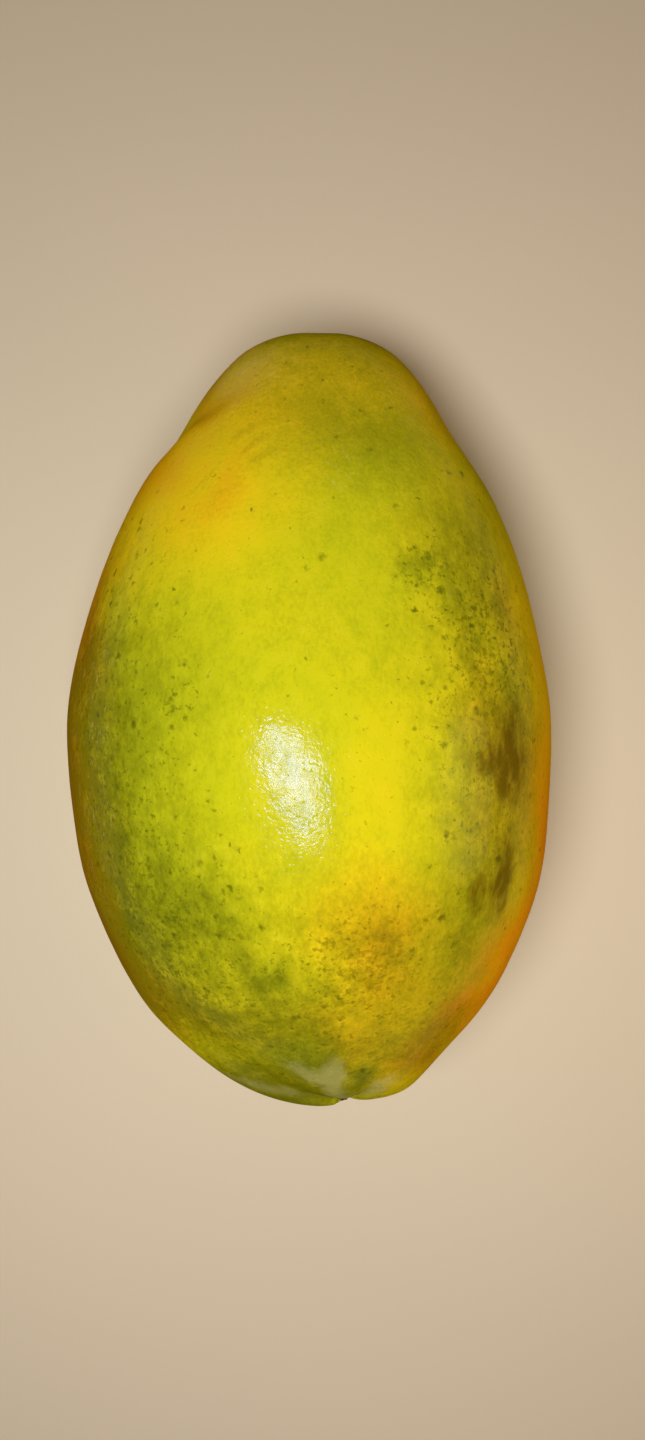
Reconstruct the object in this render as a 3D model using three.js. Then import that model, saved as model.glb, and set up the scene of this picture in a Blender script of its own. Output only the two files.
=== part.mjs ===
// A whole papaya, lying on its side: one grown body, closed all round.
// Millimetres. +Y points to the stem end, +Z up, +X to the right of the fruit seen from above.
// The skin is a row of rings threaded on a gently bent spine. Each ring has a place along the
// spine and a radius, both read from the outline. The ribs, the shoulder and the blossom end are
// swells and furrows added square to that surface.
// Angles go round the spine from +X over the top.

import * as THREE from 'three';

const radians = THREE.MathUtils.degToRad;

// Size

const HALF_LENGTH = 100;
const GIRTH_RADIUS = 63;
const HEIGHT_TO_WIDTH = 0.965;

// How far the belly is flattened where the fruit lies.
const REST_FLAT_DEPTH = 0.9;

// Outline, from the blossom end to the stem end: place as a share of HALF_LENGTH, radius as a
// share of GIRTH_RADIUS. It goes in at both ends, to the edge of each scar.
const OUTLINE = [
  [-0.997, 0.03],
  [-1.002, 0.1],
  [-0.982, 0.27],
  [-0.91, 0.464],
  [-0.78, 0.69],
  [-0.62, 0.836],
  [-0.42, 0.949],
  [-0.2, 0.992],
  [0.0, 1.0],
  [0.2, 0.94],
  [0.38, 0.86],
  [0.55, 0.747],
  [0.7, 0.597],
  [0.82, 0.488],
  [0.9, 0.378],
  [0.945, 0.26],
  [0.962, 0.155],
];

// Spine. It bows to the right of the widest place toward both ends, and hooks on to the right at
// the blossom scar. It lifts there, so that the scar looks a little upward, and sinks at the neck.
const BOW = { offset: 1.8, reach: 48 };
const HOOK = { offset: 7.4, from: -75, power: 3 };
const LIFT = { offset: 10, from: -35, power: 2.5 };
const SINK = { offset: -2.5, from: 10, power: 2 };

// Scars. The stem scar is a round corky floor sunk behind a low lip, and the blossom scar a small
// pit. Place as a share of HALF_LENGTH, radius in millimetres, and the place of the very middle.
const STEM_SCAR = [
  [0.962, 8.6],
  [0.95, 7.9],
  [0.944, 6.2],
  [0.946, 3.0],
];
const STEM_SCAR_MIDDLE = 0.947;
const BLOSSOM_PIT = [[-0.994, 1.1]];
const BLOSSOM_PIT_MIDDLE = -0.993;
// How far a scar's edge swings in and out in its five lobes, as a share of its radius.
const SCAR_LOBES = 0.05;

// Ribs. The furrows between them turn a little about the fruit from the neck to the blossom end.
const RIB_COUNT = 5;
const FURROW_ANGLE = radians(16);
const FURROW_TWIST = radians(-24);
const TWIST_FROM = 60;
// Depth of a furrow against the place along the fruit.
const FURROW_DEPTH = [
  [-100, 1.1],
  [-92, 1.1],
  [-75, 0.9],
  [-40, 0.5],
  [0, 0.4],
  [40, 0.6],
  [68, 1.1],
  [82, 1.1],
  [92, 0.5],
  [100, 0.1],
];

// The shoulder at the upper left, a step where the body swells over the root of the neck. Its line
// runs from one place and angle to another, and it is tallest at a share of the way.
const FOLD = {
  fromPlace: 76,
  toPlace: 61,
  fromAngle: radians(104),
  toAngle: radians(172),
  tallestAt: 0.62,
  spread: 0.36,
  height: 1.5,
  width: 1.3,
  reach: 12,
};

// The side of the blossom end that hangs lowest.
const SWELL = { place: -97, reach: 9, angle: radians(196), height: 2 };

// Fineness. Crowding draws the rings together toward both ends.
const COLUMNS = 80;
const BODY_RINGS = 46;
const CROWDING = 0.55;

// Reads a smooth line through knots of [place, value].
function readKnots(knots, place) {
  const last = knots.length - 1;
  if (place <= knots[0][0]) {
    return knots[0][1];
  }
  if (place >= knots[last][0]) {
    return knots[last][1];
  }
  let k = 0;
  while (place > knots[k + 1][0]) {
    k += 1;
  }
  const slope = (i) => {
    const before = knots[Math.max(i - 1, 0)];
    const after = knots[Math.min(i + 1, last)];
    return (after[1] - before[1]) / (after[0] - before[0]);
  };
  const width = knots[k + 1][0] - knots[k][0];
  const t = (place - knots[k][0]) / width;
  const leave = (2 * t ** 3 - 3 * t ** 2 + 1) * knots[k][1];
  const arrive = (3 * t ** 2 - 2 * t ** 3) * knots[k + 1][1];
  const turnOut = (t ** 3 - 2 * t ** 2 + t) * width * slope(k);
  const turnIn = (t ** 3 - t ** 2) * width * slope(k + 1);
  return leave + arrive + turnOut + turnIn;
}

// How far a place has gone from one place to another, as a share that starts at nothing.
function gone(place, from, to) {
  return Math.max(0, (place - from) / (to - from));
}

// A bell of height one about the middle.
function bell(value, middle, spread) {
  return Math.exp(-(((value - middle) / spread) ** 2));
}

// The smaller turn from one angle to another.
function turn(from, to) {
  return Math.atan2(Math.sin(to - from), Math.cos(to - from));
}

function spinePoint(place) {
  const bow = BOW.offset * (1 - bell(place, 0, BOW.reach));
  const hook = HOOK.offset * gone(place, HOOK.from, -HALF_LENGTH) ** HOOK.power;
  const lift = LIFT.offset * gone(place, LIFT.from, -HALF_LENGTH) ** LIFT.power;
  const sink = SINK.offset * gone(place, SINK.from, HALF_LENGTH) ** SINK.power;
  return new THREE.Vector3(bow + hook, place, lift + sink);
}

// The directions along and across a ring. Rings lean with the spine's rise, never sideways.
function ringFrame(place) {
  const step = 0.5;
  const side = new THREE.Vector3(1, 0, 0);
  const ahead = spinePoint(place + step);
  const forward = ahead.sub(spinePoint(place - step)).setX(0).normalize();
  const up = side.clone().cross(forward);
  return { side, forward, up };
}

function furrow(place, angle) {
  const angleHere = FURROW_ANGLE + FURROW_TWIST * gone(place, TWIST_FROM, -HALF_LENGTH);
  const wave = 0.5 + 0.5 * Math.cos(RIB_COUNT * (angle - angleHere));
  return -readKnots(FURROW_DEPTH, place) * wave ** 2;
}

// Across the fold's line the body stands proud and the neck lies low.
function fold(place, angle) {
  const share = turn(FOLD.fromAngle, angle) / (FOLD.toAngle - FOLD.fromAngle);
  const line = FOLD.fromPlace + (FOLD.toPlace - FOLD.fromPlace) * share;
  const across = place - line;
  const tall = FOLD.height * bell(share, FOLD.tallestAt, FOLD.spread);
  return -tall * Math.tanh(across / FOLD.width) * Math.exp(-Math.abs(across) / FOLD.reach);
}

function swell(place, angle) {
  const facing = Math.max(0, Math.cos(angle - SWELL.angle));
  return SWELL.height * bell(place, SWELL.place, SWELL.reach) * facing ** 2;
}

// Rings, each with the direction that faces out of the skin there: outward from the spine and
// onward along it. Only the scars' rings are lobed, and they have no ribs.
const outline = new THREE.CatmullRomCurve3(
  OUTLINE.map(([place, radius]) => new THREE.Vector3(place * HALF_LENGTH, radius * GIRTH_RADIUS)),
  false,
  'centripetal',
);
outline.arcLengthDivisions = 800;

function scarRings(list) {
  return list.map(([place, radius]) => ({ place: place * HALF_LENGTH, radius, scar: true }));
}

const bodyRings = [];
for (let i = 0; i < BODY_RINGS; i += 1) {
  const even = i / (BODY_RINGS - 1);
  const crowded = even - (CROWDING * Math.sin(2 * Math.PI * even)) / (2 * Math.PI);
  const point = outline.getPointAt(crowded);
  const tangent = outline.getTangentAt(crowded);
  bodyRings.push({ place: point.x, radius: point.y, outward: tangent.x, onward: -tangent.y });
}
const rings = [...scarRings(BLOSSOM_PIT), ...bodyRings, ...scarRings(STEM_SCAR)];

// The point of the skin on a ring at an angle.
function skinPoint(ring, angle) {
  const { side, forward, up } = ringFrame(ring.place);
  const away = side.multiplyScalar(Math.cos(angle));
  away.addScaledVector(up, Math.sin(angle) * HEIGHT_TO_WIDTH);
  const point = spinePoint(ring.place);
  if (ring.scar) {
    const lobe = SCAR_LOBES * Math.cos(RIB_COUNT * (angle - FURROW_ANGLE));
    return point.addScaledVector(away, ring.radius * (1 - lobe));
  }
  const place = ring.place;
  const height = furrow(place, angle) + fold(place, angle) + swell(place, angle);
  point.addScaledVector(away, ring.radius + height * ring.outward);
  return point.addScaledVector(forward, height * ring.onward);
}

const points = [spinePoint(BLOSSOM_PIT_MIDDLE * HALF_LENGTH)];
for (const ring of rings) {
  for (let j = 0; j < COLUMNS; j += 1) {
    points.push(skinPoint(ring, (2 * Math.PI * j) / COLUMNS));
  }
}
points.push(spinePoint(STEM_SCAR_MIDDLE * HALF_LENGTH));

// The belly is pressed flat where the fruit lies.
const floor = Math.min(...points.map((point) => point.z)) + REST_FLAT_DEPTH;
for (const point of points) {
  point.z = Math.max(point.z, floor);
}

// Faces: a fan at each scar's middle, and two triangles between neighbours everywhere else.
const faces = [];
const index = (ring, column) => 1 + ring * COLUMNS + (column % COLUMNS);
const lastRing = rings.length - 1;
const lastPoint = points.length - 1;
for (let j = 0; j < COLUMNS; j += 1) {
  faces.push(0, index(0, j), index(0, j + 1));
  for (let i = 0; i < lastRing; i += 1) {
    faces.push(index(i, j), index(i + 1, j), index(i, j + 1));
    faces.push(index(i, j + 1), index(i + 1, j), index(i + 1, j + 1));
  }
  faces.push(lastPoint, index(lastRing, j + 1), index(lastRing, j));
}

const skin = new THREE.BufferGeometry().setFromPoints(points);
skin.setIndex(faces);

// The origin is on the surface the fruit lies on, under the middle of its box.
skin.computeBoundingBox();
const middle = skin.boundingBox.getCenter(new THREE.Vector3());
skin.translate(-middle.x, -middle.y, -skin.boundingBox.min.z);
skin.computeVertexNormals();

const papaya = new THREE.Mesh(
  skin,
  new THREE.MeshStandardMaterial({ color: 0xb4aa1c, roughness: 0.42, metalness: 0 }),
);
papaya.name = 'papaya';

const group = new THREE.Group();
group.name = 'papaya_fruit';
group.add(papaya);

export default group;
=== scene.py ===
import math

import bpy
import numpy as np
from bpy.props import FloatProperty, FloatVectorProperty, IntProperty, PointerProperty
from mathutils import Euler, Matrix, Vector, noise


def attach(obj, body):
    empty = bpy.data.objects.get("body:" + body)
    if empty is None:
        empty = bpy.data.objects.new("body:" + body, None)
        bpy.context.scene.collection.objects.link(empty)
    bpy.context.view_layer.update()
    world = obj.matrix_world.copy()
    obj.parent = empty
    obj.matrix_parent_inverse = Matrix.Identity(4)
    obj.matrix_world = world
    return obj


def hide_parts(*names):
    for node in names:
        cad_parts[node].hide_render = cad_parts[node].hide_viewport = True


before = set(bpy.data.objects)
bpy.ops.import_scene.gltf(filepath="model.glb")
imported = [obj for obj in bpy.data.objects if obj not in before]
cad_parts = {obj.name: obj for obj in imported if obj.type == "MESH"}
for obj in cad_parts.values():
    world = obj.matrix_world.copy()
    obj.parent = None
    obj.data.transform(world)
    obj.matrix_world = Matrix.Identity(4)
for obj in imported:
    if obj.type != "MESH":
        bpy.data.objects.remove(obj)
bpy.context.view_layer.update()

bl_info = {
    "name": "Papaya",
    "version": (1, 0, 0),
    "blender": (4, 5, 0),
    "location": "3D View > Sidebar > Papaya",
    "description": "The dressed papaya: its marked waxy skin and the scars at its two ends",
    "category": "Object",
}

NODE = "papaya"
MM = 0.001

# The scars, in millimetres: where the middle of each is, and its radius. The stem scar is a low
# disc with rings, listed from its edge inward, each with its width and how far it rises. The
# blossom scar is a ball, stretched and then tilted.
STEM_SCAR_PLACE = (1.9, 98.3, 57.8)
STEM_SCAR_RADIUS = 7.9
STEM_SCAR_THICKNESS = 1.2
STEM_SCAR_SIDES = 90
STEM_SCAR_RINGS = (
    (0.25, 0.35),
    (0.8, 0.3),
    (0.7, -0.3),
    (0.6, -0.35),
    (0.7, 0.3),
    (0.9, 0.25),
    (0.8, -0.3),
    (0.6, -0.3),
    (0.7, 0.35),
    (0.6, 0.3),
)
BLOSSOM_SCAR_PLACE = (8.7, -95.6, 69.9)
BLOSSOM_SCAR_RADIUS = 1.35
BLOSSOM_SCAR_FORM = (1.15, 1.0, 0.7)
BLOSSOM_SCAR_TILT = math.radians(69)


def from_screen(red, green, blue):
    """A colour given as on a screen, from 0 to 255, as the linear colour that Blender works with.
    """
    shares = (red / 255, green / 255, blue / 255)
    return tuple(s / 12.92 if s <= 0.04045 else ((s + 0.055) / 1.055) ** 2.4 for s in shares)


def colour(name, description, red, green, blue):
    """A colour in the settings."""
    return FloatVectorProperty(
        name=name,
        description=description,
        default=from_screen(red, green, blue),
        subtype="COLOR",
        size=3,
        min=0,
        max=1,
    )


class PapayaSkinSettings(bpy.types.PropertyGroup):
    green: colour("Green", "The least ripe skin", 142, 153, 14)
    fresh: colour("Fresh green", "Green turning yellow", 174, 181, 18)
    lime: colour("Yellow-green", "The main colour of the lit skin", 200, 200, 20)
    lemon: colour("Lemon", "Yellow-green turning yellow", 218, 206, 20)
    yellow: colour("Yellow", "Ripe yellow", 238, 208, 20)
    gold: colour("Gold", "The ripest yellow, on the shoulder", 240, 184, 16)
    # The orange is partly ripe skin and, on the lower right flank, partly painted warm light.
    orange: colour("Orange", "Orange of the lower flanks", 244, 160, 14)
    # The shade below is what both the skin's darker tone and the painted shade blend toward.
    shadow: colour("Shade", "What the darker skin turns toward", 44, 52, 4)
    soot: colour("Sooty brown", "The brown blotches on the right flank", 108, 84, 0)
    freckle: colour("Freckles", "Dark green of the freckles", 84, 90, 4)
    ripe_freckle: colour("Ripe freckles", "Brown of the freckles on ripe skin", 134, 104, 4)
    bloom: colour("Pale bloom", "The pale wings round the blossom scar", 190, 186, 116)
    scratch: colour("Scratches", "The fine dry scratches", 226, 214, 130)
    freckle_spacing: FloatProperty(
        name="Freckle spacing",
        description="Mean distance between freckles, in millimetres",
        default=3.3,
        min=1,
    )
    freckle_size: FloatProperty(
        name="Freckle size",
        description="Radius of a large freckle, in millimetres",
        default=1.35,
        min=0.1,
    )
    waviness: FloatProperty(
        name="Waviness",
        description="Height of the skin's slow unevenness",
        default=0.26 * MM,
        unit="LENGTH",
    )
    dimpling: FloatProperty(
        name="Dimpling",
        description="Height of the dimples a few millimetres wide",
        default=0.07 * MM,
        unit="LENGTH",
    )
    levels: IntProperty(
        name="Smoothing levels",
        description="How often the skin is subdivided",
        default=2,
        min=0,
        max=2,
    )


class PapayaScarSettings(bpy.types.PropertyGroup):
    cork: colour("Cork", "The dry floor of the stem scar", 196, 172, 122)
    dark_cork: colour("Dark cork", "Cracks and rings in the stem scar", 104, 78, 44)
    style: colour("Dried style", "The dry remnant at the blossom end", 70, 58, 60)


class PapayaStageSettings(bpy.types.PropertyGroup):
    floor: colour("Floor", "The pale floor", 238, 224, 200)
    camera_height: FloatProperty(
        name="Camera height",
        description="The camera's height above the floor",
        default=347 * MM,
        unit="LENGTH",
    )
    key_power: FloatProperty(
        name="Soft box",
        description="Power of the soft box over the fruit",
        default=1.4,
        unit="POWER",
    )
    side_power: FloatProperty(
        name="Side fill",
        description="Power of the warm lamp at the right",
        default=0.1,
        unit="POWER",
    )
    fill: FloatProperty(
        name="Fill",
        description="Strength of the light from all round",
        default=0.125,
        min=0,
    )


# Nodes


def put(tree, kind, inputs=None, **settings):
    """Adds a node with its settings. An input is given a number, a colour, or a socket to link."""
    made = tree.nodes.new(kind)
    for name, value in settings.items():
        setattr(made, name, value)
    for key, value in (inputs or {}).items():
        if isinstance(value, bpy.types.NodeSocket):
            tree.links.new(value, made.inputs[key])
        else:
            made.inputs[key].default_value = value
    return made


def maths(tree, operation, *values, clamp=False):
    """One step of arithmetic on numbers and sockets."""
    inputs = dict(enumerate(values))
    return put(tree, "ShaderNodeMath", inputs, operation=operation, use_clamp=clamp).outputs[0]


def between(tree, share, low, high):
    """The value that is low where the share is 0, and high where it is 1."""
    return maths(tree, "MULTIPLY_ADD", share, high - low, low)


def ramp(tree, value, start, end, low=0.0, high=1.0):
    """A smooth step of the value, from low at start to high at end."""
    inputs = {"Value": value, "From Min": start, "From Max": end, "To Min": low, "To Max": high}
    return put(tree, "ShaderNodeMapRange", inputs, interpolation_type="SMOOTHSTEP").outputs[0]


def blend(tree, share, first, second):
    """The first colour turning into the second by a share."""

    def opaque(tint):
        return tint if isinstance(tint, bpy.types.NodeSocket) else (*tint, 1)

    inputs = {0: share, 6: opaque(first), 7: opaque(second)}
    return put(tree, "ShaderNodeMix", inputs, data_type="RGBA").outputs[2]


def cloud(tree, vector, scale, detail=2.0, roughness=0.5):
    """Soft noise about one half. The scale is in clouds per millimetre."""
    inputs = {"Vector": vector, "Scale": scale, "Detail": detail, "Roughness": roughness}
    return put(tree, "ShaderNodeTexNoise", inputs).outputs[0]


def stretched(tree, vector, scale):
    """The place with each of its axes scaled."""
    return put(tree, "ShaderNodeMapping", {"Vector": vector, "Scale": scale}).outputs[0]


def new_group(name, sockets, output):
    """An empty node group with its inputs and one output, and the sockets inside it for them."""
    tree = bpy.data.node_groups.new(name, "ShaderNodeTree")
    for label, kind, value in sockets:
        socket = tree.interface.new_socket(label, in_out="INPUT", socket_type=kind)
        if value is not None:
            socket.default_value = value
    tree.interface.new_socket(output, in_out="OUTPUT", socket_type="NodeSocketFloat")
    given = tree.nodes.new("NodeGroupInput").outputs
    result = tree.nodes.new("NodeGroupOutput").inputs[0]
    return tree, given, result


# A freckle's size and strength, each from its least share of the full value to its greatest, and
# the share of its radius where it starts to fade.
FRECKLE_SIZES = (0.35, 1.15)
FRECKLE_STRENGTHS = (0.4, 1.0)
FRECKLE_CORE = 0.15


def freckle_group():
    """Small round spots, of uneven size, on a share of the cells of a loose lattice."""
    sockets = (
        ("Vector", "NodeSocketVector", None),
        ("Spacing", "NodeSocketFloat", 4.0),
        ("Radius", "NodeSocketFloat", 0.6),
        ("Share", "NodeSocketFloat", 0.5),
    )
    tree, given, result = new_group("Freckles", sockets, "Mask")
    shrink = maths(tree, "DIVIDE", 1.0, given["Spacing"])
    cells = put(tree, "ShaderNodeTexVoronoi", {"Vector": given["Vector"], "Scale": shrink})
    away = maths(tree, "MULTIPLY", cells.outputs["Distance"], given["Spacing"])
    drawn = put(tree, "ShaderNodeSeparateColor", {0: cells.outputs["Color"]})
    uneven = between(tree, drawn.outputs[1], *FRECKLE_SIZES)
    size = maths(tree, "MULTIPLY", given["Radius"], uneven)
    core = maths(tree, "MULTIPLY", size, FRECKLE_CORE)
    spot = ramp(tree, away, core, size, low=1.0, high=0.0)
    kept = maths(tree, "LESS_THAN", drawn.outputs[0], given["Share"])
    strength = between(tree, drawn.outputs[2], *FRECKLE_STRENGTHS)
    tree.links.new(maths(tree, "MULTIPLY", maths(tree, "MULTIPLY", spot, kept), strength), result)


# The crust's grains to a cell between cracks, and a crack's half width as a share of a cell.
CRUST_GRAINS = 2.6
CRACK_WIDTH = 0.22


def crust_group():
    """Dry, cracked grain, from 0 in the cracks to 1."""
    sockets = (("Vector", "NodeSocketVector", None), ("Scale", "NodeSocketFloat", 1.0))
    tree, given, result = new_group("Dry crust", sockets, "Value")
    inputs = {"Vector": given["Vector"], "Scale": given["Scale"]}
    cells = put(tree, "ShaderNodeTexVoronoi", inputs, feature="DISTANCE_TO_EDGE")
    finer = maths(tree, "MULTIPLY", given["Scale"], CRUST_GRAINS)
    grain = cloud(tree, given["Vector"], finer, detail=4.0, roughness=0.65)
    crack = ramp(tree, cells.outputs["Distance"], 0.0, CRACK_WIDTH)
    tree.links.new(maths(tree, "MULTIPLY", crack, grain), result)


def placed_group(tree, group, **inputs):
    """Places a node group and gives its output. Its inputs' names are given in small letters."""
    given = {name.capitalize(): value for name, value in inputs.items()}
    return put(tree, "ShaderNodeGroup", given, node_tree=bpy.data.node_groups[group]).outputs[0]


def new_material(name):
    """A material with its Principled shader, and the place on the piece in millimetres."""
    material = bpy.data.materials.new(name)
    material.use_nodes = True
    tree = material.node_tree
    shader = tree.nodes["Principled BSDF"]
    inputs = {0: put(tree, "ShaderNodeTexCoord").outputs["Object"], 3: 1 / MM}
    place = put(tree, "ShaderNodeVectorMath", inputs, operation="SCALE").outputs[0]
    return material, tree, shader, place


def wandering(tree, vector, scale, reach):
    """The place moved a little by noise, so that what is drawn with it has uneven edges."""
    drift = put(tree, "ShaderNodeTexNoise", {"Vector": vector, "Scale": scale, "Detail": 3.0})
    inputs = {0: drift.outputs["Color"], 1: (0.5, 0.5, 0.5)}
    centred = put(tree, "ShaderNodeVectorMath", inputs, operation="SUBTRACT").outputs[0]
    inputs = {0: centred, 1: (2 * reach,) * 3, 2: vector}
    return put(tree, "ShaderNodeVectorMath", inputs, operation="MULTIPLY_ADD").outputs[0]


# Painted markings


# The skin's markings are painted on its corners as oval patches. A patch has its middle and half
# size in millimetres, and its turn about Z in degrees. Ripeness runs from 0, green, to 1, orange,
# and shade is how dark the skin is there. Both are partly the skin's own colour and partly painted
# light: painted shade darkens the limbs, the lower half and the blossom end, painted light
# brightens the right limb, and painted warm light turns the left limb brown and the lower right
# flank orange.

RIPE_START = 0.42
SHADE_START = 0.02

# The number that every random draw starts from.
NOISE_SEED = 30

# The slow drift of ripeness and shade over the skin, and how far the patches' edges wander: the
# number of the draw, the size of a cloud in millimetres, and the height or the reach.
RIPE_DRIFT = (1, 34, 0.1)
SHADE_DRIFT = (2, 22, 0.05)
LOOSE_EDGES = (1, 16, 5.0)
CLOSE_EDGES = (2, 4, 1.6)

# How far apart the draws stand in the noise, and how a drift's finer noises fade, how much finer
# each is, and how many there are.
DRIFT_STEP = (3.7, 11.9, 7.3)
EDGE_STEP = (17.3, 5.1, 9.7)
DRIFT_FORM = (1.0, 2.0, 3)

# The share of a patch's radius over which it fades, and the least and greatest value painted.
FADE = 0.85
PAINT_RANGE = (-1, 2)

# middle, half size, turn, ripeness added, shade added. Where marked below, the ripeness holds
# painted warm light, and the shade holds painted shade, lighter where it is below zero.
GROUND = (
    # the yellow shoulder at the upper left, and the orange patch in it
    ((-20, 54, 100), (30, 44, 40), -28, 0.32, -0.03),
    ((-14, 55, 103), (9, 15, 14), -20, 0.1, 0.04),
    ((-47, 46, 72), (20, 44, 38), -22, 0.24, 0.04),
    ((-33, 67, 74), (20, 26, 34), -40, 0.2, 0.0),
    # short creases in it, drawn as painted shade along them
    ((-20.5, 60, 98.5), (1.8, 9, 6), -52, 0.0, 0.14),
    ((-10, 63.5, 100), (1.6, 9, 6), -46, 0.0, 0.13),
    ((-8, 60, 102), (1.6, 8, 6), -60, 0.0, 0.12),
    ((-14, 67, 97), (1.6, 8, 6), -58, 0.0, 0.12),
    # the neck, and below it on the right
    ((4, 88, 84), (44, 34, 54), 0, 0.24, 0.23),
    ((-20, 84, 70), (18, 22, 32), -40, 0.26, 0.0),
    ((30, 74, 72), (14, 26, 30), 28, 0.2, 0.04),
    ((-14, 90, 76), (16, 12, 26), 0, 0.0, -0.06),
    ((10, 64, 102), (18, 20, 22), 0, 0.04, 0.12),
    ((34, 48, 92), (26, 44, 40), 0, 0.12, 0.05),
    ((28, 52, 99), (20, 30, 22), 20, -0.04, 0.12),
    # right flank
    ((50, 5, 85), (30, 72, 54), 0, 0.21, 0.11),
    ((34, 2, 108), (22, 66, 30), 0, 0.06, 0.02),
    ((43, -14, 101), (24, 56, 30), 0, 0.06, 0.25),
    # painted light: the right limb made lighter where light falls on it
    ((62, 10, 78), (20, 84, 36), 0, 0.14, -0.12),
    ((38, 34, 102), (18, 26, 22), 0, -0.12, 0.08),
    ((43, 19, 101), (9, 10, 10), 0, 0.0, -0.17),
    ((47, 33, 94), (8, 12, 12), 0, 0.0, 0.12),
    ((47, 10, 98), (10, 20, 14), 0, -0.08, 0.03),
    # a green cloud at its upper end
    ((24, 34, 109), (12, 7, 12), 25, -0.08, 0.11),
    ((31, 28, 107), (6, 10, 10), -20, -0.06, 0.1),
    ((38, 22, 103), (8, 12, 12), 0, -0.05, 0.1),
    # orange of the lower right flank, partly ripe skin and partly painted warm light on the limb
    # turned away from the main light, which is painted lighter too; and the darker skin over it,
    # partly painted shade
    ((54, -38, 52), (36, 76, 62), -14, 0.24, 0.0),
    ((56, -44, 78), (20, 48, 42), -16, 0.21, -0.07),
    ((45, -58, 85), (16, 28, 32), -26, 0.28, -0.05),
    ((33, -73, 85), (14, 21, 27), -40, 0.28, 0.04),
    ((22, -86, 76), (12, 15, 24), -60, 0.3, 0.06),
    ((36, -54, 98), (14, 20, 18), 0, 0.0, 0.1),
    ((28, -76, 88), (22, 18, 24), -35, -0.02, 0.2),
    # yellow beside the middle, and the mottled orange below it
    ((16, -14, 119), (17, 28, 20), 0, 0.14, -0.05),
    ((12, -44, 113), (22, 26, 24), 0, 0.25, 0.14),
    ((30, -54, 104), (26, 34, 30), 0, 0.18, 0.16),
    ((16, -72, 98), (26, 24, 30), 0, 0.24, 0.06),
    # the blossom half, darker, partly its own darker green and partly painted shade where the light
    # falls off, with two green patches
    ((0, -64, 96), (76, 66, 66), 0, 0.05, 0.08),
    ((-3, -66, 103), (18, 16, 22), 0, 0.06, 0.24),
    ((-22, -70, 96), (22, 18, 22), 0, 0.04, 0.14),
    ((8, -77, 96), (12, 12, 14), 0, 0.0, 0.08),
    ((-8, -55, 110), (8, 6, 9), 20, -0.1, 0.19),
    ((-13, -51, 111), (6, 4, 9), -20, -0.08, 0.16),
    ((-1, -78, 94), (14, 12, 15), 20, -0.2, 0.1),
    # green left flank, darker and brown toward the floor: partly the skin's own tone, and partly
    # painted shade with painted warm light on the limb
    ((-36, -14, 102), (30, 62, 40), 0, -0.2, 0.08),
    ((-22, -38, 110), (16, 22, 18), 0, -0.12, 0.08),
    ((-28, -50, 98), (36, 40, 42), 0, 0.0, 0.2),
    ((-56, -16, 89), (29, 86, 42), 0, 0.0, 0.41),
    ((-59, -12, 84), (25, 98, 40), 0, 0.42, 0.06),
    ((-46, -60, 82), (16, 34, 30), 28, 0.28, 0.3),
    ((-34, -72, 84), (22, 28, 34), 30, 0.12, 0.1),
    # blossom end, darker at its lower rim: partly its own dark green, and partly painted shade
    ((0, -86, 82), (34, 22, 36), 0, 0.0, 0.26),
    ((-8, -94, 62), (40, 20, 44), 0, 0.0, 0.26),
    ((13, -86, 86), (7, 7, 10), 0, -0.12, 0.16),
    # the side it lies on
    ((12, -24, 4), (46, 62, 34), 0, 0.28, 0.02),
    ((-26, 44, 10), (34, 44, 34), 0, 0.18, 0.1),
)

# Sooty brown blotches: middle, half size, turn, strength.
SOOT = (
    ((47.5, -4, 100), (7.5, 18, 12), 0, 0.7),
    ((42.5, -7, 104), (9, 14, 11), 0, 0.6),
    ((38, -8.5, 108.5), (10, 5.5, 8), 0, 0.5),
    ((38.5, -38, 104.5), (4.2, 9, 8), -4, 0.95),
    ((44.8, -35.5, 99.8), (5.4, 16, 12), -8, 1.0),
    ((27, -64, 103), (2.4, 3.6, 5), 0, 0.9),
    ((14.5, -58, 109), (2, 2.6, 5), 0, 0.8),
    ((46, 27, 96), (6, 13, 12), 0, 0.42),
    ((34, 24, 107), (4, 12, 8), 0, 0.3),
    ((46.5, -14, 101), (7, 11, 10), 0, 0.5),
    ((-4, 6, 8), (26, 20, 26), 0, 0.5),
    ((30, 40, 20), (14, 26, 20), 0, 0.4),
)

# How thick the freckles are: middle, half size, turn, share added.
SPECKLED = (
    ((-48, -20, 88), (44, 96, 64), 0, 0.75),
    ((-4, -74, 92), (66, 52, 60), 0, 0.55),
    ((-24, -44, 102), (34, 40, 30), 0, 0.3),
    ((12, -50, 111), (20, 24, 24), 0, 0.7),
    ((38, 4, 100), (28, 66, 36), 0, 0.8),
    ((24, 34, 109), (12, 9, 13), 20, 0.8),
    ((40, 20, 103), (12, 18, 14), 0, 0.4),
    ((-26, 7, 113), (9, 4, 8), 0, 0.6),
    ((0, 90, 80), (40, 30, 60), 0, 0.1),
    ((0, 0, 0), (90, 120, 84), 0, 0.45),
)

# The pale wings round the blossom scar, and dry scuffs: middle, half size, turn, strength.
PALE = (
    ((6.4, -85, 87), (4.4, 13, 20), 4, 1.0),
    ((0.5, -84, 89), (3.4, 12, 14), 50, 0.7),
    ((-12, -90.5, 77), (3.0, 18, 10), 78, 0.6),
    ((17, -90, 80), (4.0, 10, 10), -42, 0.8),
    ((8.5, -92.5, 78), (6, 5, 7), 0, 0.6),
    ((-16, 86, 78), (20, 18, 28), 0, 0.42),
    ((32, 29.5, 106), (1.8, 1.2, 3), 0, 0.6),
)

# Where the skin is finely scratched along the fruit: middle, half size, turn, share added.
SCRATCHED = (
    ((6, 60, 104), (9, 11, 14), 8, 1.0),
    ((-50, 0, 90), (10, 70, 34), 0, 0.8),
    ((24, 76, 84), (10, 14, 24), 40, 0.7),
    ((44, -12, 102), (8, 14, 12), 0, 0.12),
    ((0, 0, 10), (90, 110, 40), 0, 0.5),
)

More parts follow.
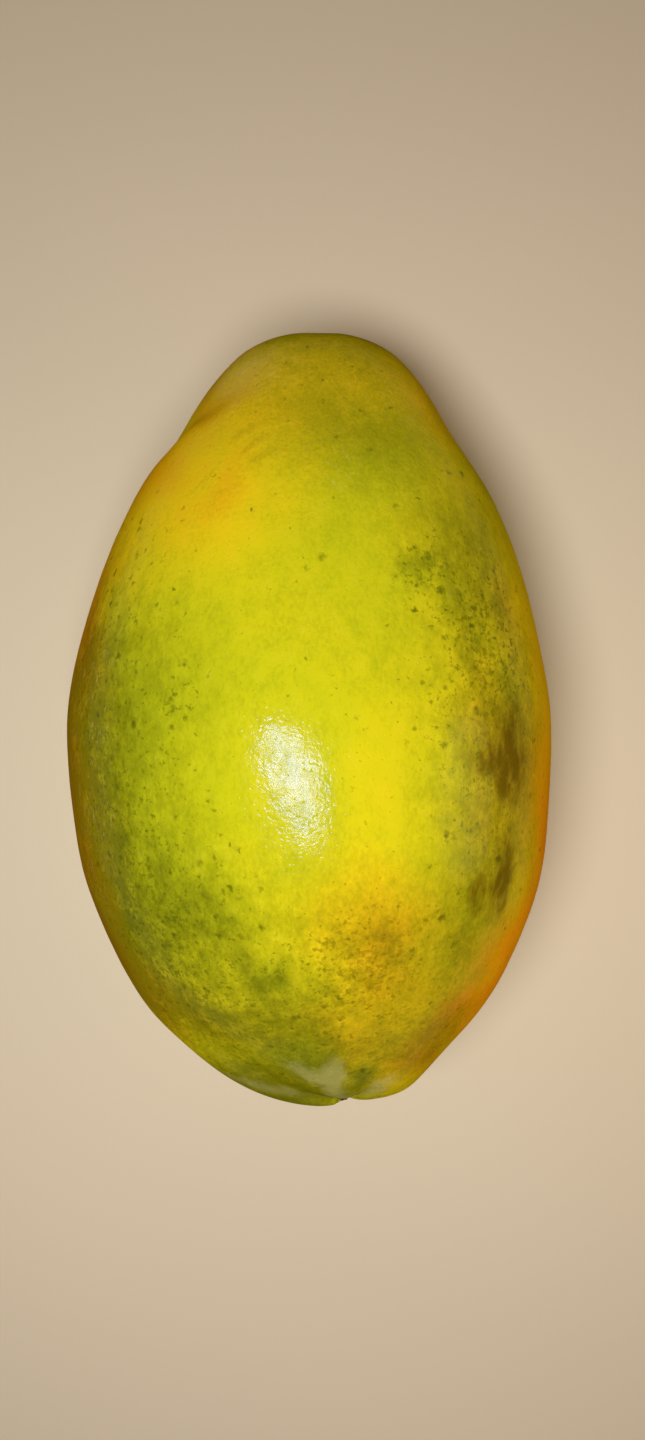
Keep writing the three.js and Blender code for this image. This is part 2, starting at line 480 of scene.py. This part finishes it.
# Each painted marking, its patches, and what it is where there are none.
PAINTED = (
    ("soot", SOOT, 0.0),
    ("speckled", SPECKLED, 0.04),
    ("pale", PALE, 0.0),
    ("scratched", SCRATCHED, 0.05),
)


def wandered(places, seed, size, reach):
    """The places moved a little by noise, so that what is painted there has uneven edges."""
    noise.seed_set(NOISE_SEED + seed)
    shift = seed * Vector(EDGE_STEP)
    drift = [noise.noise_vector(Vector(place) / size + shift) for place in places]
    return places + reach * np.array(drift)


def patch(places, middle, half_size, turn):
    """An oval patch: 1 in its middle, fading smoothly to 0 at its rim."""
    away = places - np.array(middle)
    angle = math.radians(turn)
    across = math.cos(angle) * away[:, 0] + math.sin(angle) * away[:, 1]
    along = math.cos(angle) * away[:, 1] - math.sin(angle) * away[:, 0]
    turned = np.stack((across, along, away[:, 2]), axis=1) / np.array(half_size)
    share = np.clip((1 - np.linalg.norm(turned, axis=1)) / FADE, 0, 1)
    return share * share * (3 - 2 * share)


def slow_noise(places, seed, size, height):
    """Soft noise about zero, up to a height."""
    shift = seed * Vector(DRIFT_STEP)
    drift = [noise.fractal(Vector(place) / size + shift, *DRIFT_FORM) for place in places]
    return height * np.array(drift)


def paint(piece, name, values):
    """Keeps a value for each corner of the piece, which its material reads by name."""
    layer = piece.data.attributes.new(name, "FLOAT", "POINT")
    layer.data.foreach_set("value", np.clip(values, *PAINT_RANGE).astype(np.float32))


def paint_skin(piece):
    """Paints every marking listed above on the piece."""
    flat = np.empty(3 * len(piece.data.vertices))
    piece.data.vertices.foreach_get("co", flat)
    places = flat.reshape(-1, 3) / MM
    loose = wandered(places, *LOOSE_EDGES)
    close = wandered(places, *CLOSE_EDGES)
    ripeness_and_warm_light = RIPE_START + slow_noise(places, *RIPE_DRIFT)
    shade = SHADE_START + slow_noise(places, *SHADE_DRIFT)
    for middle, half_size, turn, added_ripeness_and_warm_light, darker in GROUND:
        share = patch(loose, middle, half_size, turn)
        ripeness_and_warm_light += added_ripeness_and_warm_light * share
        shade += darker * share
    paint(piece, "ripeness_and_warm_light", ripeness_and_warm_light)
    paint(piece, "shade", shade)
    for name, rows, start in PAINTED:
        paint(piece, name, start + sum(amount * patch(close, *row) for *row, amount in rows))


def painted(tree, name):
    """What is painted on the piece under a name."""
    return put(tree, "ShaderNodeAttribute", attribute_name=name).outputs["Fac"]


# Skin material


# The noises that the markings are drawn with. For those that run along the fruit, the place is
# stretched first. Below, a ramp is given as its start, end, low and high.
EDGES = {"scale": 0.75, "reach": 1.2}
MOTTLE = {"scale": 0.26, "detail": 5.0, "roughness": 0.62}
MOTTLE_STRETCH = (1.0, 0.7, 1.0)
GRAIN = {"scale": 1.0, "detail": 3.0, "roughness": 0.7}
GRAIN_STRETCH = (1.3, 0.7, 1.3)
FLECKS = {"scale": 0.75, "detail": 4.0, "roughness": 0.6}
STREAKS = {"scale": 1.0, "detail": 5.0, "roughness": 0.6}
STREAK_STRETCH = (0.42, 0.17, 0.42)
HAIRS = {"scale": 1.0, "detail": 2.0, "roughness": 0.5}
HAIR_STRETCH = (1.5, 0.16, 1.5)
SHEEN = {"scale": 0.3, "detail": 3.0, "roughness": 0.55}
PEEL = {"scale": 0.85, "detail": 2.0, "roughness": 0.55}

# Where each colour of the settings stands on the scale of ripeness, how much the mottling moves a
# place on it, and the ripeness over which the freckles turn from green to brown.
RIPENESS_STOPS = (
    (0.0, "green"),
    (0.25, "fresh"),
    (0.42, "lime"),
    (0.56, "lemon"),
    (0.7, "yellow"),
    (0.85, "gold"),
    (1.0, "orange"),
)
MOTTLE_RIPENESS = 0.2
FRECKLE_RIPENESS = (0.5, 0.85)

# What the mottling adds to the shade on clean and on speckled skin, and what the grain adds. The
# shade's gain, and the most that it darkens, which it nears softly.
MOTTLE_SHADE = (-0.18, -0.88)
GRAIN_SHADE = -0.35
SHADE_GAIN = 1.5
DARKEST = 0.7
DARKEST_SOFTNESS = 0.25

# The noise's level where flecks start, what the mottling and the speckling add to it, the width of
# a fleck's edge, and its strength.
FLECK_LEVEL = 0.66
FLECK_MOTTLE = -0.3
FLECK_SPECKLE = -0.15
FLECK_EDGE = 0.11
FLECK_STRENGTH = 0.52

# How the noise streaks the soot, as a ramp, the painted level where soot is full, and its strength.
SOOT_STREAKS = (0.3, 0.7, 0.55, 1.25)
SOOT_FULL = 1.1
SOOT_STRENGTH = 0.9

# The share of places that have a freckle where the skin is fully speckled. Then each kind of
# freckle, with its spacing and size as shares of the settings', and its strength.
FRECKLE_SHARE = 0.62
FRECKLE_KINDS = ((1.0, 1.0, 0.88), (0.54, 0.62, 0.8))

# What the mottling adds to the pale bloom, the level where it is full, and its strength. The
# noise's levels over which a scratch starts, and its strength.
BLOOM_MOTTLE = 0.6
BLOOM_FULL = 0.95
BLOOM_STRENGTH = 0.5
SCRATCH_EDGE = (0.6, 0.72)
SCRATCH_STRENGTH = 0.4

# The finish: how rough the wax and the dry spots are, and the shine. It falls off toward the rim
# and is uneven, both as ramps. This share of it is left on soot, and it is a little blue.
WAX_ROUGHNESS = 0.13
DRY_ROUGHNESS = 0.43
SHINE_TO_RIM = (0.2, 0.65, 0.28, 0.0)
SHINE_UNEVEN = (0.32, 0.66, 0.45, 1.0)
SOOT_SHINE = 0.2
SHINE_TINT = (0.36, 0.47, 1.0, 1)

# The waxy grain's height and the pores' scale, radius and depth, in millimetres.
PEEL_HEIGHT = 0.075
PORE_SCALE = 0.8
PORE_RADIUS = 0.4
PORE_DEPTH = 0.03


def centred_cloud(tree, vector, **how):
    """Soft noise about zero."""
    return maths(tree, "SUBTRACT", cloud(tree, vector, **how), 0.5)


def ripeness_colour(tree, settings, ripeness_and_warm_light):
    """The colour of clean skin, from green to orange."""
    scale = put(tree, "ShaderNodeValToRGB", {0: ripeness_and_warm_light})
    steps = scale.color_ramp.elements
    while len(steps) < len(RIPENESS_STOPS):
        steps.new(0.5)
    for step, (position, name) in zip(steps, RIPENESS_STOPS):
        step.position = position
        step.color = (*getattr(settings, name), 1)
    return scale.outputs[0]


def darkness(tree, place, mottle, speckled):
    """How dark each place is: the skin's darker tone and the painted shade, in smooth patches, and
    mottled where it is speckled.
    """
    uneven = maths(tree, "MULTIPLY", mottle, between(tree, speckled, *MOTTLE_SHADE))
    grain = centred_cloud(tree, stretched(tree, place, GRAIN_STRETCH), **GRAIN)
    uneven = maths(tree, "MULTIPLY_ADD", grain, GRAIN_SHADE, uneven)
    shade = maths(tree, "ADD", uneven, painted(tree, "shade"))
    strong = maths(tree, "MULTIPLY", shade, SHADE_GAIN, clamp=True)
    return maths(tree, "SMOOTH_MIN", strong, DARKEST, DARKEST_SOFTNESS)


def fleck_mask(tree, place, mottle, speckled):
    """Small uneven spots of no clear form, in clumps."""
    clumps = maths(tree, "MULTIPLY_ADD", mottle, FLECK_MOTTLE, FLECK_LEVEL)
    level = maths(tree, "MULTIPLY_ADD", speckled, FLECK_SPECKLE, clumps)
    full = maths(tree, "ADD", level, FLECK_EDGE)
    return ramp(tree, cloud(tree, place, **FLECKS), level, full, high=FLECK_STRENGTH)


def soot_mask(tree, place):
    """The brown blotches, streaked along the fruit."""
    streaks = cloud(tree, stretched(tree, place, STREAK_STRETCH), **STREAKS)
    streaks = ramp(tree, streaks, *SOOT_STREAKS)
    soot = maths(tree, "MULTIPLY", painted(tree, "soot"), streaks)
    return ramp(tree, soot, 0.0, SOOT_FULL, high=SOOT_STRENGTH)


def freckle_mask(tree, place, settings, speckled):
    """Round freckles, large and small."""
    share = maths(tree, "MULTIPLY", speckled, FRECKLE_SHARE)
    kinds = []
    for spacing, size, strength in FRECKLE_KINDS:
        spots = placed_group(
            tree,
            "Freckles",
            vector=place,
            spacing=settings.freckle_spacing * spacing,
            radius=settings.freckle_size * size,
            share=share,
        )
        kinds.append(maths(tree, "MULTIPLY", spots, strength))
    return maths(tree, "MAXIMUM", *kinds)


def bloom_mask(tree, mottle):
    """The pale bloom."""
    mottled = maths(tree, "MULTIPLY_ADD", mottle, BLOOM_MOTTLE, painted(tree, "pale"))
    return ramp(tree, mottled, 0.0, BLOOM_FULL, high=BLOOM_STRENGTH)


def scratch_mask(tree, place):
    """Fine scratches along the fruit."""
    hairs = cloud(tree, stretched(tree, place, HAIR_STRETCH), **HAIRS)
    strength = maths(tree, "MULTIPLY", painted(tree, "scratched"), SCRATCH_STRENGTH)
    return maths(tree, "MULTIPLY", ramp(tree, hairs, *SCRATCH_EDGE), strength)


def wax(tree, shader, place, soot, bloom):
    """Gives the skin its shine and its fine waxy grain."""
    dry = maths(tree, "MAXIMUM", soot, bloom)
    rough = between(tree, dry, WAX_ROUGHNESS, DRY_ROUGHNESS)
    tree.links.new(rough, shader.inputs["Roughness"])
    edge = put(tree, "ShaderNodeLayerWeight", {"Blend": 0.5}).outputs["Facing"]
    sheen = ramp(tree, cloud(tree, place, **SHEEN), *SHINE_UNEVEN)
    sheen = maths(tree, "MULTIPLY", sheen, between(tree, soot, 1.0, SOOT_SHINE))
    level = maths(tree, "MULTIPLY", ramp(tree, edge, *SHINE_TO_RIM), sheen)
    tree.links.new(level, shader.inputs["Specular IOR Level"])
    shader.inputs["Specular Tint"].default_value = SHINE_TINT

    inputs = {"Vector": place, "Scale": PORE_SCALE}
    pores = put(tree, "ShaderNodeTexVoronoi", inputs, feature="SMOOTH_F1")
    pits = ramp(tree, pores.outputs["Distance"], 0.0, PORE_RADIUS)
    peel = maths(tree, "MULTIPLY", cloud(tree, place, **PEEL), PEEL_HEIGHT)
    height = maths(tree, "MULTIPLY_ADD", pits, PORE_DEPTH, peel)
    inputs = {"Height": height, "Distance": MM, "Strength": 1.0}
    tree.links.new(put(tree, "ShaderNodeBump", inputs).outputs[0], shader.inputs["Normal"])


def skin_material(settings):
    """The skin, from its clean colour to each marking that lies over it."""
    material, tree, shader, place = new_material("papaya_skin")
    close = wandering(tree, place, **EDGES)
    mottle = centred_cloud(tree, stretched(tree, place, MOTTLE_STRETCH), **MOTTLE)
    speckled = maths(tree, "MINIMUM", painted(tree, "speckled"), 1.0)
    ripeness_and_warm_light = maths(tree, "MULTIPLY_ADD", mottle, MOTTLE_RIPENESS, painted(tree, "ripeness_and_warm_light"))
    brown = ramp(tree, ripeness_and_warm_light, *FRECKLE_RIPENESS)
    freckle = blend(tree, brown, settings.freckle, settings.ripe_freckle)
    soot = soot_mask(tree, place)
    bloom = bloom_mask(tree, mottle)

    skin = ripeness_colour(tree, settings, ripeness_and_warm_light)
    # the skin's darker tone and the painted shade
    skin = blend(tree, darkness(tree, place, mottle, speckled), skin, settings.shadow)
    skin = blend(tree, fleck_mask(tree, place, mottle, speckled), skin, freckle)
    skin = blend(tree, soot, skin, settings.soot)
    skin = blend(tree, freckle_mask(tree, close, settings, speckled), skin, freckle)
    skin = blend(tree, bloom, skin, settings.bloom)
    skin = blend(tree, scratch_mask(tree, close), skin, settings.scratch)
    tree.links.new(skin, shader.inputs["Base Color"])
    wax(tree, shader, place, soot, bloom)
    return material


# Scar material


# The wandering of the crust's cells and of the rings, and, as ramps, the crust's light, the rings'
# dark, and the roughness.
CRUST_EDGES = {"scale": 0.4, "reach": 1.2}
RING_EDGES = {"scale": 0.3, "reach": 0.5}
CRUST_LIGHT = (0.02, 0.4)
RING_DARK = (-0.2, 1.0, 0.0, 0.55)
CRUST_ROUGHNESS = (0.0, 0.6, 0.95, 0.7)


def cork_material(name, pale, dark, scale, height, middle, ring_width):
    """A dry crust, pale on its grains, dark in its cracks, with darker rings about its middle."""
    material, tree, shader, place = new_material(name)
    cells = wandering(tree, place, **CRUST_EDGES)
    crust = placed_group(tree, "Dry crust", vector=cells, scale=scale)
    inputs = {0: wandering(tree, place, **RING_EDGES), 1: middle}
    away = put(tree, "ShaderNodeVectorMath", inputs, operation="DISTANCE").outputs["Value"]
    wave = maths(tree, "SINE", maths(tree, "MULTIPLY", away, 2 * math.pi / ring_width))
    tint = blend(tree, ramp(tree, crust, *CRUST_LIGHT), dark, pale)
    tint = blend(tree, ramp(tree, wave, *RING_DARK), tint, dark)
    tree.links.new(tint, shader.inputs["Base Color"])
    tree.links.new(ramp(tree, crust, *CRUST_ROUGHNESS), shader.inputs["Roughness"])
    inputs = {"Height": crust, "Distance": height * MM, "Strength": 1.0}
    tree.links.new(put(tree, "ShaderNodeBump", inputs).outputs[0], shader.inputs["Normal"])
    return material


# Pieces


# How the solid's loose triangles become faces: the distance at which corners are one, and the
# largest angle at which two triangles are one face.
MERGE_DISTANCE = 0.002 * MM
FACE_ANGLE = math.radians(60)

# The noises that make the pieces uneven: the size of a swell, how many finer noises lie over it,
# and the level that stays where it is. The swells' is over one half, so that the skin stays inside
# the solid's box.
SWELLS = {"size": 13 * MM, "depth": 1, "middle": 0.65}
DIMPLES = {"size": 5.5 * MM, "depth": 2, "middle": 0.5}
BARK_CRUMBLE = {"size": 2.2 * MM, "depth": 3, "middle": 0.5}
BARK_CRUMBLE_HEIGHT = 0.5 * MM
SHRIVELLING = {"size": 0.9 * MM, "depth": 3, "middle": 0.6}
SHRIVELLING_HEIGHT = 1.1 * MM


def only(piece):
    """Leaves one piece selected and active."""
    bpy.ops.object.select_all(action="DESELECT")
    piece.select_set(True)
    bpy.context.view_layer.objects.active = piece


def add_modifier(piece, kind, **settings):
    """Adds a modifier and applies it."""
    modifier = piece.modifiers.new(kind.title(), kind)
    for name, value in settings.items():
        setattr(modifier, name, value)
    only(piece)
    bpy.ops.object.modifier_apply(modifier=modifier.name)


def make_uneven(piece, name, height, size, depth, middle):
    """Moves the piece's surface in and out by soft noise."""
    texture = bpy.data.textures.new(name, "CLOUDS")
    texture.noise_scale = size
    texture.noise_depth = depth
    add_modifier(
        piece,
        "DISPLACE",
        texture=texture,
        texture_coords="LOCAL",
        strength=height,
        mid_level=middle,
    )


def finish(piece, material):
    """Shades the piece smooth and gives it its one material."""
    only(piece)
    bpy.ops.object.shade_smooth()
    piece.data.materials.clear()
    piece.data.materials.append(material)


class PAPAYA_OT_skin(bpy.types.Operator):
    """Makes the papaya's whole skin from the solid: smoothed, gently uneven, and marked"""

    bl_idname = "papaya.skin"
    bl_label = "Skin"

    def execute(self, context):
        settings = context.scene.papaya_skin
        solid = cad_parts[NODE]
        only(solid)
        bpy.ops.object.duplicate()
        piece = context.view_layer.objects.active
        if piece == solid:
            raise RuntimeError("the solid could not be copied")
        # the copy drops what marks it as a node of the frame
        for key in list(piece.keys()):
            del piece[key]
        piece.parent = None
        piece.name = piece.data.name = "papaya_whole_skin"
        bpy.ops.object.mode_set(mode="EDIT")
        bpy.ops.mesh.select_all(action="SELECT")
        bpy.ops.mesh.remove_doubles(threshold=MERGE_DISTANCE)
        bpy.ops.mesh.tris_convert_to_quads(face_threshold=FACE_ANGLE, shape_threshold=FACE_ANGLE)
        bpy.ops.object.mode_set(mode="OBJECT")
        add_modifier(piece, "SUBSURF", levels=settings.levels, render_levels=settings.levels)
        make_uneven(piece, "slow swells", settings.waviness, **SWELLS)
        make_uneven(piece, "dimples", settings.dimpling, **DIMPLES)
        paint_skin(piece)
        finish(piece, skin_material(settings))
        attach(piece, "root")
        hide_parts(NODE)
        return {"FINISHED"}


def select_faces(piece, wanted):
    """Selects, in edit mode, the faces for which wanted says yes. There has to be one."""
    bpy.ops.mesh.select_mode(type="FACE")
    bpy.ops.mesh.select_all(action="DESELECT")
    bpy.ops.object.mode_set(mode="OBJECT")
    for face in piece.data.polygons:
        face.select = wanted(face)
    if not any(face.select for face in piece.data.polygons):
        raise RuntimeError("no such face was found on " + piece.name)
    bpy.ops.object.mode_set(mode="EDIT")


class PAPAYA_OT_stem_scar(bpy.types.Operator):
    """Adds the dry woody scar where the stalk broke away: a bark ring, a wood ring and the pith"""

    bl_idname = "papaya.stem_scar"
    bl_label = "Stem scar"

    def execute(self, context):
        settings = context.scene.papaya_scars
        bpy.ops.object.select_all(action="DESELECT")
        bpy.ops.mesh.primitive_cylinder_add(
            vertices=STEM_SCAR_SIDES,
            radius=STEM_SCAR_RADIUS * MM,
            depth=STEM_SCAR_THICKNESS * MM,
            location=[MM * v for v in STEM_SCAR_PLACE],
            rotation=(-math.pi / 2, 0, 0),
        )
        piece = context.view_layer.objects.active
        piece.name = piece.data.name = "stem_scar"
        bpy.ops.object.mode_set(mode="EDIT")
        # the disc's outer face, which looks along Z until the disc's turn is applied
        select_faces(piece, lambda face: len(face.vertices) > 4 and face.normal.z > 0.5)
        for thickness, depth in STEM_SCAR_RINGS:
            bpy.ops.mesh.inset(thickness=thickness * MM, depth=depth * MM)
        bpy.ops.mesh.poke()
        bpy.ops.object.mode_set(mode="OBJECT")
        bpy.ops.object.transform_apply(location=True, rotation=True, scale=True)
        add_modifier(piece, "SUBSURF", levels=2, render_levels=2)
        make_uneven(piece, "bark crumble", BARK_CRUMBLE_HEIGHT, **BARK_CRUMBLE)
        bark = cork_material(
            "stem_scar",
            pale=settings.cork,
            dark=settings.dark_cork,
            scale=0.5,
            height=0.5,
            middle=STEM_SCAR_PLACE,
            ring_width=2.9,
        )
        finish(piece, bark)
        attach(piece, "root")
        return {"FINISHED"}


class PAPAYA_OT_blossom_scar(bpy.types.Operator):
    """Adds the small dried remnant of the flower in its pit at the blossom end"""

    bl_idname = "papaya.blossom_scar"
    bl_label = "Blossom scar"

    def execute(self, context):
        settings = context.scene.papaya_scars
        bpy.ops.object.select_all(action="DESELECT")
        bpy.ops.mesh.primitive_ico_sphere_add(
            subdivisions=5,
            radius=BLOSSOM_SCAR_RADIUS * MM,
            location=[MM * v for v in BLOSSOM_SCAR_PLACE],
            rotation=(BLOSSOM_SCAR_TILT, 0, 0),
            scale=BLOSSOM_SCAR_FORM,
        )
        piece = context.view_layer.objects.active
        piece.name = piece.data.name = "blossom_scar"
        bpy.ops.object.transform_apply(location=True, rotation=True, scale=True)
        make_uneven(piece, "shrivelling", SHRIVELLING_HEIGHT, **SHRIVELLING)
        remnant = cork_material(
            "blossom_scar",
            pale=settings.style,
            dark=settings.dark_cork,
            scale=2.4,
            height=0.25,
            middle=BLOSSOM_SCAR_PLACE,
            ring_width=0.9,
        )
        finish(piece, remnant)
        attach(piece, "root")
        return {"FINISHED"}


# Stage


# The floor and the lamps, in metres. A lamp's turn is in degrees about its own beam, and the
# floor's noise is in clouds per millimetre.
FLOOR_WIDTH = 6
FLOOR_ROUGHNESS = 0.6
FLOOR_CLOUDS = 0.004
FLOOR_LIGHTER = 1.04
SOFT_BOX = {
    "place": (-0.04, -0.056, 0.46),
    "target": (0, 0, 0.06),
    "size": (0.19, 0.1),
    "tint": (1.0, 0.98, 0.95),
    "turn": -34,
}
SIDE_FILL = {
    "place": (0.32, -0.06, 0.2),
    "target": (0.03, -0.02, 0.06),
    "size": (0.2, 0.2),
    "tint": (1.0, 0.72, 0.42),
    "turn": 0,
}
FILL_TINT = (1.0, 0.68, 0.38, 1)

# The spot that the camera stands over in metres, its sensor's width and its lens in millimetres,
# and the nearest distance that it sees, in metres.
CAMERA_OVER = (0.0035, 0.00085)
CAMERA_SENSOR = 36
CAMERA_LENS = 27.04
CAMERA_NEAR = 0.01


def hang(context, name, data, place):
    """Puts a lamp or a camera into the scene."""
    holder = bpy.data.objects.new(name, data)
    context.scene.collection.objects.link(holder)
    holder.location = place
    return holder


def add_lamp(context, name, power, place, target, size, tint, turn):
    """Adds an oval lamp that faces its target."""
    light = bpy.data.lights.new(name, "AREA")
    light.shape = "ELLIPSE"
    light.size, light.size_y = size
    light.energy = power
    light.color = tint
    away = Vector(target) - Vector(place)
    aim = Euler((math.asin(away.y / away.length), math.atan2(-away.x, -away.z), 0)).to_matrix()
    turned = aim @ Matrix.Rotation(math.radians(turn), 3, "Z")
    hang(context, name, light, place).rotation_euler = turned.to_euler()


class PAPAYA_OT_stage(bpy.types.Operator):
    """Sets the floor, the soft light and the camera straight above the fruit"""

    bl_idname = "papaya.stage"
    bl_label = "Floor, light and camera"

    def execute(self, context):
        settings = context.scene.papaya_stage
        bpy.ops.object.select_all(action="DESELECT")
        bpy.ops.mesh.primitive_plane_add(size=FLOOR_WIDTH)
        ground = context.view_layer.objects.active
        ground.name = "floor"
        material, tree, shader, place = new_material("pale floor")
        shade = cloud(tree, place, FLOOR_CLOUDS)
        lighter = [min(1, FLOOR_LIGHTER * c) for c in settings.floor]
        tree.links.new(blend(tree, shade, settings.floor, lighter), shader.inputs["Base Color"])
        shader.inputs["Roughness"].default_value = FLOOR_ROUGHNESS
        ground.data.materials.append(material)

        add_lamp(context, "soft box", settings.key_power, **SOFT_BOX)
        add_lamp(context, "side fill", settings.side_power, **SIDE_FILL)
        world = context.scene.world or bpy.data.worlds.new("studio")
        context.scene.world = world
        world.use_nodes = True
        ambient = world.node_tree.nodes["Background"]
        ambient.inputs["Color"].default_value = FILL_TINT
        ambient.inputs["Strength"].default_value = settings.fill

        camera = bpy.data.cameras.new("camera")
        camera.sensor_width = CAMERA_SENSOR
        camera.lens = CAMERA_LENS
        camera.clip_start = CAMERA_NEAR
        over = (*CAMERA_OVER, settings.camera_height)
        context.scene.camera = hang(context, "camera", camera, over)
        context.scene.view_settings.view_transform = "Standard"
        return {"FINISHED"}


class PAPAYA_PT_panel(bpy.types.Panel):
    """Lists the papaya's pieces and the stage"""

    bl_idname = "PAPAYA_PT_panel"
    bl_label = "Papaya"
    bl_space_type = "VIEW_3D"
    bl_region_type = "UI"
    bl_category = "Papaya"

    def draw(self, context):
        for operator in OPERATORS:
            self.layout.operator(operator.bl_idname)
        for name in SETTINGS:
            box = self.layout.box()
            settings = getattr(context.scene, name)
            for key in settings.__annotations__:
                box.prop(settings, key)


OPERATORS = (PAPAYA_OT_skin, PAPAYA_OT_stem_scar, PAPAYA_OT_blossom_scar, PAPAYA_OT_stage)
SETTINGS = {
    "papaya_skin": PapayaSkinSettings,
    "papaya_scars": PapayaScarSettings,
    "papaya_stage": PapayaStageSettings,
}


def register():
    """Registers the classes and adds the settings to the scene."""
    for cls in (*SETTINGS.values(), *OPERATORS, PAPAYA_PT_panel):
        bpy.utils.register_class(cls)
    for name, cls in SETTINGS.items():
        setattr(bpy.types.Scene, name, PointerProperty(type=cls))


def unregister():
    """Takes away what register added."""
    for name in SETTINGS:
        delattr(bpy.types.Scene, name)
    for cls in reversed((*SETTINGS.values(), *OPERATORS, PAPAYA_PT_panel)):
        bpy.utils.unregister_class(cls)


def main():
    """Makes the part and its stage."""
    register()
    freckle_group()
    crust_group()
    for operator in OPERATORS:
        group, name = operator.bl_idname.split(".")
        getattr(getattr(bpy.ops, group), name)()


if __name__ == "__main__":
    main()
